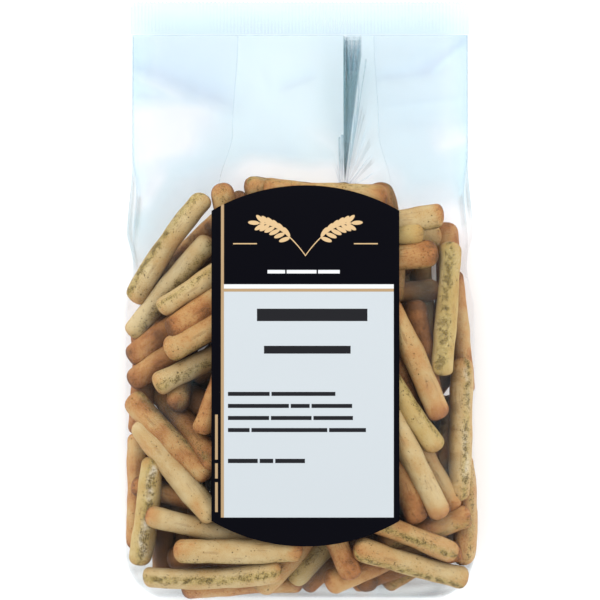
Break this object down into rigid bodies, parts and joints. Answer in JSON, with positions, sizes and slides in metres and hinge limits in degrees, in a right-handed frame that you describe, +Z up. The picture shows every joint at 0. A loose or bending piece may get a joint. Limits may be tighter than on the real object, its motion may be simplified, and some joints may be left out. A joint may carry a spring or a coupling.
{
  "type": "bag of grissini breadsticks",
  "caption": "Sealed clear side-gusset bag filled with short herb breadsticks, lying flat, with a crimped top seal and a blank paper label on its front.",
  "frame": {"origin": "middle of the bag's footprint, on the surface it lies on", "axes": "+Y along the bag towards its crimped top seal, +Z up out of the labelled front"},
  "size_m": [0.13, 0.2219, 0.0387],
  "materials": {
    "filled_bag": "clear glossy film over golden baked sticks",
    "label_paper": "coated dark label with a pale panel"
  },
  "bodies": {
    "root": {"bag": "filled_bag", "label": "label_paper"}
  },
  "joints": []
}
